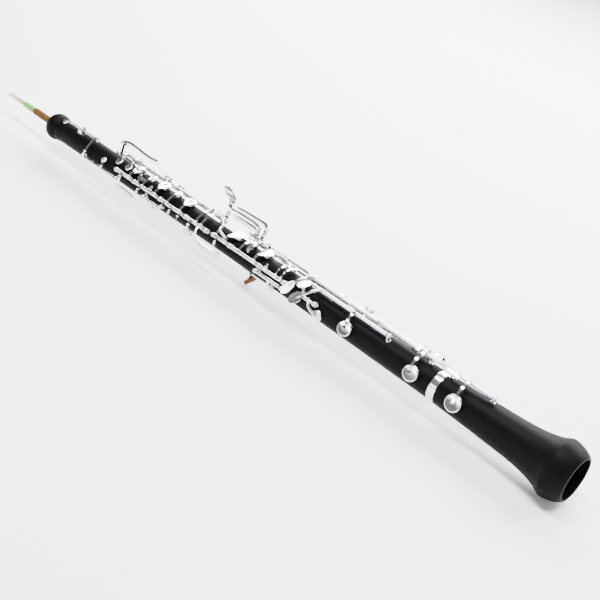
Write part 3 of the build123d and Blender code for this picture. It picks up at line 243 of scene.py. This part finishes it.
def mat_blue():
    m, nt, p = newmat("spring_steel_blued")
    n = noise(nt, coords(nt), 300.0, 3.0, 0.5)
    nt.links.new(ramp(nt, n, [(0.3, (0.035, 0.05, 0.13)), (0.7, (0.10, 0.11, 0.20))]), p.inputs["Base Color"])
    p.inputs["Metallic"].default_value = 1.0
    nt.links.new(ramp(nt, n, [(0.3, 0.22), (0.7, 0.34)]), p.inputs["Roughness"])
    return m


WOOD = mat_wood()
SILVER = mat_silver()
CAPTOP = mat_silver("silver_cups", (0.93, 0.915, 0.89), 0.10)
RINGM = mat_silver("bell_ring_plate", (0.88, 0.87, 0.86), 0.17, 0.06)
STEEL = mat_steel()
BRASS = mat_silver("staple_brass", (0.83, 0.66, 0.36), 0.2)
CORK_T = mat_cork("tenon_cork", (0.17, 0.095, 0.040), (0.29, 0.175, 0.080), (0.40, 0.26, 0.13))
CORK_R = mat_cork("reed_cork_dark", (0.034, 0.013, 0.004), (0.086, 0.037, 0.010), (0.15, 0.072, 0.020))
CORK_H = mat_cork("hand_rest_cork", (0.045, 0.016, 0.005), (0.105, 0.041, 0.014), (0.17, 0.075, 0.028))
CANE = mat_cane()
THREAD = mat_thread()
PAD = mat_pad()
BUMPER = mat_cork("bumper_cork", (0.42, 0.28, 0.16), (0.62, 0.44, 0.27), (0.74, 0.56, 0.37))
BLUE = mat_blue()


def node_mat(n):
    if n in ("bell_body", "lower_joint_body", "upper_joint_body"):
        return WOOD
    if n.endswith("_pad"):
        return PAD
    if n.endswith("rods") or n in ("bell_rod", "third_octave_pin"):
        return STEEL
    if n == "bell_ring":
        return RINGM
    if n.endswith("tenon_cork"):
        return CORK_T
    if n == "reed_cork":
        return CORK_R
    if n == "thumb_rest_cork":
        return CORK_H
    if n == "reed_cane":
        return CANE
    if n == "reed_thread":
        return THREAD
    if n == "reed_staple":
        return BRASS
    return SILVER


for name, o in NODES.items():
    o.data.materials.clear()
    o.data.materials.append(node_mat(name))
    keep = name.endswith("_cane")
    for poly in o.data.polygons:
        poly.use_smooth = True
    w = 0.00018
    if name in ("upper_joint_body", "lower_joint_body"):
        w = 0.00022
    if name == "bell_body":
        w = 0.0004
    if name.endswith("rods") or name.endswith("posts") or name in ("bell_rod",):
        w = 0.00008
    if name.endswith("_key") or name.endswith("_lever") or "lever" in name:
        w = 0.00024
    if name in ("reed_cane", "reed_thread", "reed_staple", "reed_cork") or name.endswith("tenon_cork"):
        w = 0.00006
    bv = o.modifiers.new("edge", "BEVEL")
    bv.width = w
    bv.segments = 2
    bv.limit_method = "ANGLE"
    bv.angle_limit = math.radians(32)
    bv.use_clamp_overlap = True
    bv.harden_normals = False
    wn = o.modifiers.new("shade", "WEIGHTED_NORMAL")
    wn.keep_sharp = True
    wn.weight = 80


# ---------------------------------------------------------------- rods, holes and keys, as the parts have them
RODS = {"UPPER": (-65.5, 14.6), "OCT": (-98.0, 14.5), "VENT": (-96.0, 14.6), "T1": (36.0, 14.6), "T2": (53.0, 14.6),
        "SIDE": (72.0, 14.6), "GS": (92.0, 14.6), "LOWER": (-62.0, 15.2), "RING": (-62.3, 15.4), "LINK": (-81.5, 15.4),
        "F": (40.0, 14.9), "BB": (58.0, 18.6), "B": (76.0, 18.4), "EBL": (95.0, 17.8), "C": (-18.0, 17.0),
        "CS": (8.0, 17.0), "EB": (-64.0, 15.0), "BELL": (3.0, 18.2)}


def swung(a, r, rod, deg):
    """(y, z) in mm of a point at angle a and radius r after turning deg about a rod."""
    y, z = r * math.sin(math.radians(a)), r * math.cos(math.radians(a))
    if rod is None:
        return y, z
    ra, rr = RODS[rod]
    y0, z0 = rr * math.sin(math.radians(ra)), rr * math.cos(math.radians(ra))
    t = math.radians(deg)
    return ((y - y0) * math.cos(t) - (z - z0) * math.sin(t) + y0, (y - y0) * math.sin(t) + (z - z0) * math.cos(t) + z0)


def lathe(name, prof, seg=32, close=True):
    """Mesh turned about +Z from (radius, height) points in mm."""
    bm = bmesh.new()
    rings = []
    for r, z in prof:
        if r < 1e-6:
            rings.append([bm.verts.new((0, 0, z * MM))])
        else:
            rings.append([bm.verts.new((r * MM * math.cos(2 * math.pi * k / seg), r * MM * math.sin(2 * math.pi * k / seg), z * MM)) for k in range(seg)])
    for A, B in zip(rings, rings[1:]):
        for k in range(seg):
            n = (k + 1) % seg
            if len(A) == 1 and len(B) == 1:
                continue
            if len(A) == 1:
                bm.faces.new((A[0], B[n], B[k]))
            elif len(B) == 1:
                bm.faces.new((A[k], A[n], B[0]))
            else:
                bm.faces.new((A[k], A[n], B[n], B[k]))
    bmesh.ops.recalc_face_normals(bm, faces=bm.faces)
    me = bpy.data.meshes.new(name)
    bm.to_mesh(me)
    bm.free()
    for f in me.polygons:
        f.use_smooth = True
    o = bpy.data.objects.new(name, me)
    bpy.context.scene.collection.objects.link(o)
    return o


def put(o, origin, zdir, xdir=(1, 0, 0)):
    """Bake a placement into the mesh: local z along zdir."""
    z = Vector(zdir).normalized()
    x = Vector(xdir)
    x = (x - z * x.dot(z)).normalized()
    y = z.cross(x)
    m = Matrix((x, y, z)).transposed().to_4x4()
    o.data.transform(Matrix.Translation(origin) @ m)
    return o


def wire(name, pts, r0, r1, seg=10):
    """Tapered round wire through points in metres, radii in mm."""
    bm = bmesh.new()
    prev = None
    n = len(pts)
    for i, pt in enumerate(pts):
        d = (pts[min(i + 1, n - 1)] - pts[max(i - 1, 0)]).normalized()
        u = d.cross(Vector((0.0, 0.31, 0.95))).normalized()
        v = d.cross(u)
        r = (r0 + (r1 - r0) * i / (n - 1)) * MM
        ring = [bm.verts.new(pt + r * (u * math.cos(2 * math.pi * k / seg) + v * math.sin(2 * math.pi * k / seg))) for k in range(seg)]
        if prev:
            for k in range(seg):
                bm.faces.new((prev[k], prev[(k + 1) % seg], ring[(k + 1) % seg], ring[k]))
        else:
            bm.faces.new(ring)
        prev = ring
    bm.faces.new(list(reversed(prev)))
    bmesh.ops.recalc_face_normals(bm, faces=bm.faces)
    me = bpy.data.meshes.new(name)
    bm.to_mesh(me)
    bm.free()
    for f in me.polygons:
        f.use_smooth = True
    o = bpy.data.objects.new(name, me)
    bpy.context.scene.collection.objects.link(o)
    return o


def finish_piece(o, mat, body):
    o.data.materials.append(mat)
    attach(o, body)
    return o


# pads that sit in the small cups: name, body, rod, swing, station, angle, seat radius, cup diameter, centre hole
PADS = [("third_octave_pad", "third_octave_key", None, 0, 579.2, -12.2, 9.9, 5.6, 0),
        ("first_octave_pad", "first_octave_key", None, 0, 513.1, -65.4, 9.7, 5.6, 0),
        ("side_octave_pad", "side_octave_key", None, 0, 507.0, 112.0, 9.7, 5.6, 0),
        ("trill_pad_1", "trill_key_1", None, 0, 498.9, -28.0, 9.6, 6.8, 0),
        ("trill_pad_2", "trill_key_2", None, 0, 486.1, -28.0, 9.6, 6.8, 0),
        ("half_hole_pad", "half_hole_key", "UPPER", 7, 474.6, -4.5, 9.4, 9.6, 0.8),
        ("upper_vent_pad", "upper_vent_key", "UPPER", 7, 456.3, -4.0, 9.5, 7.0, 0),
        ("lower_vent_pad", "lower_vent_key", "UPPER", 7, 425.4, 3.8, 9.5, 7.2, 0),
        ("back_vent_pad", "back_vent_key", None, 0, 443.5, -138.0, 9.5, 7.0, 0),
        ("middle_vent_pad", "middle_vent_key", "LOWER", 7, 332.2, 8.4, 9.7, 7.4, 0),
        ("f_pad", "f_key", None, 0, 318.0, 84.0, 9.9, 8.6, 0),
        ("forked_f_pad", "forked_f_key", None, 0, 296.0, -122.0, 10.2, 7.4, 0),
        ("c_sharp_pad", "c_sharp_key", None, 0, 236.0, 66.0, 11.0, 11.6, 0),
        ("e_flat_pad", "e_flat_key", None, 0, 243.3, -97.0, 11.0, 9.4, 0)]
for nm, body, rod, deg, s, a, rs, d, hole in PADS:
    R = d / 2 - 0.62
    z0 = rs + 0.32
    prof = [(hole, 0.10), (R * 0.55, 0.02), (R * 0.86, 0.0), (R - 0.12, 0.05), (R, 0.22), (R + 0.03, 0.7), (R, 1.5), (R - 0.1, 1.82), (hole, 1.84)]
    if hole:
        prof.append((hole, 0.10))
    o = lathe(nm, prof, 40)
    y, z = swung(a, z0, rod, deg)
    b = math.radians(a - deg)
    put(o, Vector((-s * MM, y * MM, z * MM)), (0, math.sin(b), math.cos(b)))
    finish_piece(o, PAD, body)

# wound thread of the reed
prof = []
s0, s1, pitch = 626.2, 641.7, 0.34
n = int((s1 - s0) / pitch * 8)
seg = 72
bm = bmesh.new()
rings = []


def thread_r(s):
    pts = [(626.1, 2.50), (626.8, 2.82), (628.5, 2.88), (632.0, 2.90), (637.0, 2.84), (640.0, 2.70), (641.0, 2.58), (641.8, 2.44)]
    for (x0, y0), (x1, y1) in zip(pts, pts[1:]):
        if s <= x1:
            return y0 + (y1 - y0) * (s - x0) / (x1 - x0)
    return pts[-1][1]


for i in range(n + 1):
    s = s0 + (s1 - s0) * i / n
    ring = []
    for k in range(seg):
        ph = k / seg
        w = abs(math.sin(math.pi * (s / pitch + ph)))
        wob = 0.012 * math.sin(5 * s + 2 * math.pi * ph) + 0.01 * math.sin(1.7 * s)
        r = thread_r(s) - 0.07 + 0.13 * math.sqrt(w) + wob
        t = 2 * math.pi * ph
        ring.append(bm.verts.new((-s * MM, r * MM * math.sin(t), r * MM * math.cos(t))))
    rings.append(ring)
for A, B in zip(rings, rings[1:]):
    for k in range(seg):
        bm.faces.new((A[k], A[(k + 1) % seg], B[(k + 1) % seg], B[k]))
for ring, r in ((rings[0], 2.0), (rings[-1], 2.25)):
    inner = [bm.verts.new((v.co.x, v.co.y * r / 2.7, v.co.z * r / 2.7)) for v in ring]
    for k in range(seg):
        bm.faces.new((ring[k], ring[(k + 1) % seg], inner[(k + 1) % seg], inner[k]))
bmesh.ops.recalc_face_normals(bm, faces=bm.faces)
me = bpy.data.meshes.new("reed_winding")
bm.to_mesh(me)
bm.free()
for f in me.polygons:
    f.use_smooth = True
o = bpy.data.objects.new("reed_winding", me)
bpy.context.scene.collection.objects.link(o)
finish_piece(o, THREAD, "reed")
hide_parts("reed_thread")

# slotted screw ends on the rods: (station, rod, side, body)
ENDS = [(494.9, "UPPER", -1, "upper_joint"), (374.3, "UPPER", 1, "upper_joint"), (540.5, "OCT", -1, "upper_joint"),
        (488.9, "OCT", 1, "upper_joint"), (456.0, "VENT", -1, "upper_joint"), (430.5, "VENT", 1, "upper_joint"),
        (507.5, "T1", -1, "upper_joint"), (374.5, "T1", 1, "upper_joint"), (495.9, "T2", -1, "upper_joint"),
        (374.7, "T2", 1, "upper_joint"), (523.1, "SIDE", -1, "upper_joint"), (496.4, "SIDE", 1, "upper_joint"),
        (404.7, "GS", -1, "upper_joint"), (373.3, "GS", 1, "upper_joint"),
        (368.7, "LOWER", -1, "lower_joint"), (281.5, "RING", 1, "lower_joint"),
        (315.0, "LINK", -1, "lower_joint"), (281.3, "LINK", 1, "lower_joint"), (336.7, "F", -1, "lower_joint"),
        (301.3, "F", 1, "lower_joint"), (351.7, "BB", -1, "lower_joint"), (131.9, "BB", 1, "lower_joint"),
        (347.7, "B", -1, "lower_joint"), (145.9, "B", 1, "lower_joint"), (353.7, "EBL", -1, "lower_joint"),
        (259.9, "EBL", 1, "lower_joint"), (260.7, "C", -1, "lower_joint"), (177.3, "C", 1, "lower_joint"),
        (273.5, "CS", -1, "lower_joint"), (138.1, "CS", 1, "lower_joint"), (267.7, "EB", -1, "lower_joint"),
        (246.9, "EB", 1, "lower_joint"), (122.1, "BELL", -1, "bell"), (79.4, "BELL", 1, "bell")]


def slotted(name, R, h, gap, turn):
    """Two half discs with a slot between them, on a thinner full disc."""
    bm = bmesh.new()
    for side in (1, -1):
        outline = []
        y0 = gap / 2
        t0 = math.asin(y0 / R)
        for k in range(15):
            t = t0 + (math.pi - 2 * t0) * k / 14
            outline.append((R * math.cos(t), side * R * math.sin(t)))
        lo = [bm.verts.new((x * MM, y * MM, 0)) for x, y in outline]
        md = [bm.verts.new((x * MM, y * MM, h * 0.7 * MM)) for x, y in outline]
        hi = [bm.verts.new((x * 0.86 * MM, (side * y0 + (y - side * y0) * 0.86) * MM, h * MM)) for x, y in outline]
        m = len(outline)
        for A, B in ((lo, md), (md, hi)):
            for k in range(m):
                bm.faces.new((A[k], A[(k + 1) % m], B[(k + 1) % m], B[k]))
        bm.faces.new(hi)
        bm.faces.new(list(reversed(lo)))
    base = [bm.verts.new((R * 0.99 * MM * math.cos(2 * math.pi * k / 24), R * 0.99 * MM * math.sin(2 * math.pi * k / 24), h * 0.25 * MM)) for k in range(24)]
    bm.faces.new(base)
    bmesh.ops.recalc_face_normals(bm, faces=bm.faces)
    me = bpy.data.meshes.new(name)
    bm.to_mesh(me)
    bm.free()
    me.transform(Matrix.Rotation(turn, 4, "Z"))
    o = bpy.data.objects.new(name, me)
    bpy.context.scene.collection.objects.link(o)
    return o


rng = random.Random(7)
for i, (s, rod, side, body) in enumerate(ENDS):
    a, r = RODS[rod]
    o = slotted("rod_screw_%02d" % (i + 1), 0.95, 0.32, 0.24, rng.uniform(0, 3.1))
    put(o, ax(a, r, s), (side, 0, 0), (0, 1, 0))
    finish_piece(o, SILVER, body)

# adjusting screws on the bridges: station, angle, radius of the head's seat, rod, swing, body
ADJ = [(448.0, -47.5, 15.75, "UPPER", 7, "second_plate_key"), (464.0, -42.0, 14.25, "UPPER", 7, "upper_vent_key"),
       (304.0, -45.5, 17.7, "RING", 7, "ring_key"), (418.0, -83.0, 18.3, "UPPER", 7, "third_plate_key"),
       (363.2, -42.0, 17.5, "LOWER", 0, "bridge_lever")]
for i, (s, a, r, rod, deg, body) in enumerate(ADJ):
    o = slotted("adjusting_screw_%d" % (i + 1), 0.85, 0.8, 0.25, rng.uniform(0, 3.1))
    y, z = swung(a, r - 0.15, rod, deg)
    b = math.radians(a - deg)
    put(o, Vector((-s * MM, y * MM, z * MM)), (0, math.sin(b), math.cos(b)))
    finish_piece(o, SILVER, body)

# needle springs: root station, tip station, rod, angle at the root and tip, radius at the root and tip, body
SPR = [(468.7, 477.5, "UPPER", -64, -60, 12.9, 13.1, "upper_joint"), (434.6, 444.0, "UPPER", -64, -59, 12.9, 13.2, "upper_joint"),
       (434.6, 425.2, "UPPER", -64, -59, 12.9, 13.2, "upper_joint"), (401.8, 410.5, "UPPER", -64, -59, 12.9, 13.2, "upper_joint"),
       (491.0, 503.0, "OCT", -96.5, -92, 12.8, 13.0, "upper_joint"), (498.5, 506.0, "SIDE", 73.5, 80, 12.8, 13.0, "upper_joint"),
       (505.4, 495.5, "T1", 34.5, 28, 12.8, 13.0, "upper_joint"), (493.8, 483.0, "T2", 51.5, 44, 12.8, 13.0, "upper_joint"),
       (402.6, 395.0, "GS", 93.5, 99, 12.8, 13.0, "upper_joint"),
       (347.0, 353.5, "LOWER", -60.5, -56, 13.4, 13.6, "lower_joint"), (347.0, 337.0, "LOWER", -60.5, -56, 13.4, 13.6, "lower_joint"),
       (312.6, 319.5, "LOWER", -60.5, -56, 13.4, 13.6, "lower_joint"), (283.6, 293.0, "RING", -60.5, -55, 13.5, 13.7, "lower_joint"),
       (334.6, 321.0, "F", 41.5, 47, 13.0, 13.3, "lower_joint"), (283.4, 296.0, "LINK", -83, -88, 13.5, 13.7, "lower_joint"),
       (258.6, 238.0, "C", -19.5, -24, 14.9, 15.2, "lower_joint"), (179.4, 196.0, "C", -19.5, -24, 14.9, 15.2, "lower_joint"),
       (271.4, 250.0, "CS", 9.5, 14, 14.9, 15.2, "lower_joint"), (140.2, 156.0, "CS", 6.5, 1, 14.9, 15.2, "lower_joint"),
       (134.0, 152.0, "BB", 59, 63, 16.4, 16.6, "lower_joint"), (81.5, 98.0, "BELL", 1.5, -4, 16.0, 16.2, "bell")]
for i, (sa, sb, rod, a0, a1, r0, r1, body) in enumerate(SPR):
    pts = []
    for k in range(9):
        t = k / 8
        pts.append(ax(a0 + (a1 - a0) * t * t, r0 + (r1 - r0) * t, sa + (sb - sa) * t))
    o = wire("needle_spring_%02d" % (i + 1), pts, 0.30, 0.20)
    finish_piece(o, BLUE, body)

# ---------------------------------------------------------------- floor, light, camera
bm = bmesh.new()
bmesh.ops.create_grid(bm, x_segments=8, y_segments=8, size=4.0)
me = bpy.data.meshes.new("floor")
bm.to_mesh(me)
bm.free()
floor = bpy.data.objects.new("floor", me)
floor.location = (-0.3, 0, b0[0][2] - 0.0006)
bpy.context.scene.collection.objects.link(floor)
fm, nt, p = newmat("floor_paper")
fn = noise(nt, coords(nt), 3.0, 4.0, 0.5)
nt.links.new(ramp(nt, fn, [(0.3, (0.945, 0.945, 0.945)), (0.7, (0.965, 0.965, 0.965))]), p.inputs["Base Color"])
p.inputs["Roughness"].default_value = 0.9
floor.data.materials.append(fm)

world = bpy.data.worlds.new("studio")
bpy.context.scene.world = world
world.use_nodes = True
wt = world.node_tree
wt.nodes["Background"].inputs[0].default_value = (1.0, 1.0, 1.0, 1)
wt.nodes["Background"].inputs[1].default_value = 0.20


def area(name, loc, target, size, size_y, power, col=(1, 1, 1)):
    l = bpy.data.lights.new(name, "AREA")
    l.shape = "RECTANGLE"
    l.size = size
    l.size_y = size_y
    l.energy = power
    l.color = col
    o = bpy.data.objects.new(name, l)
    o.location = loc
    d = Vector(target) - Vector(loc)
    o.rotation_euler = d.to_track_quat("-Z", "Y").to_euler()
    bpy.context.scene.collection.objects.link(o)
    return o


mid = (-0.32, 0, 0)
area("softbox_back", (-0.45, 1.05, 0.78), mid, 2.2, 0.85, 127.0)
area("softbox_top", (-0.30, -0.25, 1.25), mid, 1.3, 0.28, 52.0)
area("strip_front", (-0.55, -1.15, 0.30), mid, 1.8, 0.10, 8.0)
area("strip_bell", (1.0, -0.35, 0.55), mid, 0.22, 0.9, 6.0)

cam = bpy.data.cameras.new("cam")
co = bpy.data.objects.new("cam", cam)
R = Matrix(((0.724956, -0.498549, 0.475277), (0.643122, 0.242848, -0.726236), (0.246644, 0.832150, 0.496682)))
co.matrix_world = Matrix.Translation((0.207789, -0.732797, 0.494278)) @ R.to_4x4()
cam.sensor_width = 36.0
cam.lens = 73.0437
cam.clip_start = 0.01
bpy.context.scene.collection.objects.link(co)
bpy.context.scene.camera = co
